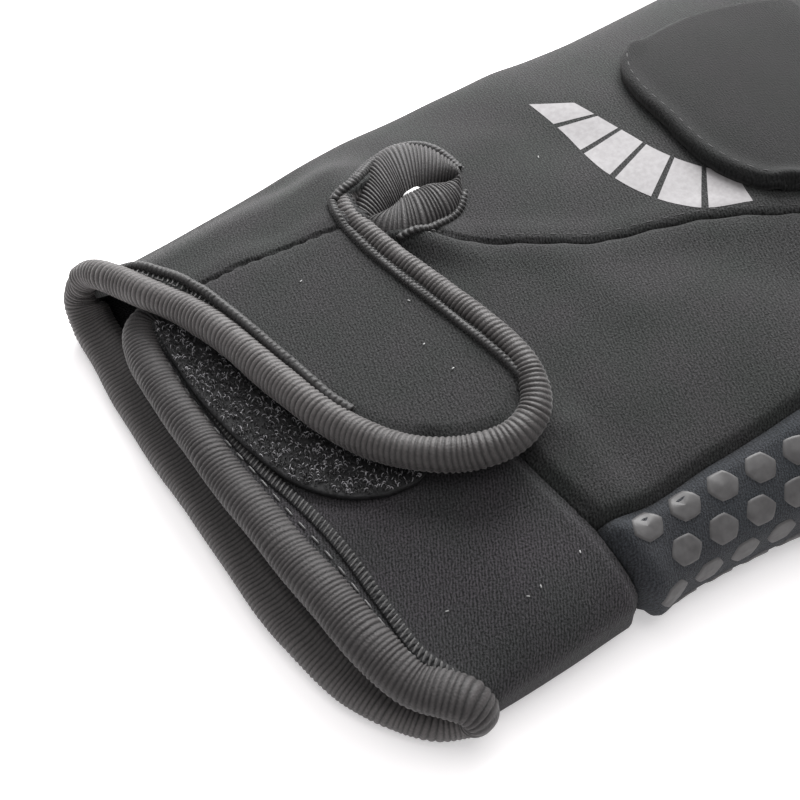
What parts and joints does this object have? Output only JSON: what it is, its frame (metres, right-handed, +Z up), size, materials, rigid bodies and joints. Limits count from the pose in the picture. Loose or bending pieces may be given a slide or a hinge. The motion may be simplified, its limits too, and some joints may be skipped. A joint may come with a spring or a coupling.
{
  "type": "fishing glove",
  "caption": "Left-hand neoprene fishing glove lying on its palm, with a bound cuff, a wrist tab over a hook and loop patch, a teardrop vent and a grip palm",
  "frame": {"origin": "on the table under the middle of the glove's outline", "axes": "+Z is up out of the back of the hand, +Y runs from the cuff to the fingertips and +X points to the thumb side"},
  "size_m": [0.1522, 0.2442, 0.0263],
  "materials": {
    "neoprene": "charcoal jersey knit over neoprene",
    "binding": "black ribbed stretch binding",
    "grip_fabric": "fine dark blue-grey knit",
    "grip_dots": "matt grey silicone",
    "hook_and_loop": "black nylon loops",
    "print": "silver grey screen print",
    "thread": "black sewing thread",
    "label": "blank white tape"
  },
  "bodies": {
    "root": {"back_panel": "neoprene", "thumb_side_panel": "neoprene", "cuff_panel": "neoprene", "palm_wrist_panel": "neoprene", "grip_palm_panel": "grip_fabric", "little_finger": "neoprene", "ring_finger": "neoprene", "middle_finger": "neoprene", "index_finger": "neoprene", "thumb": "neoprene", "palm_cuff_binding": "binding", "tab_binding": "binding", "vent_binding": "binding", "wrist_cuff_binding": "binding", "wrist_tab": "neoprene", "loop_patch": "hook_and_loop", "hook_patch": "hook_and_loop", "knuckle_overlay": "neoprene", "inner_label": "label"}
  },
  "joints": []
}
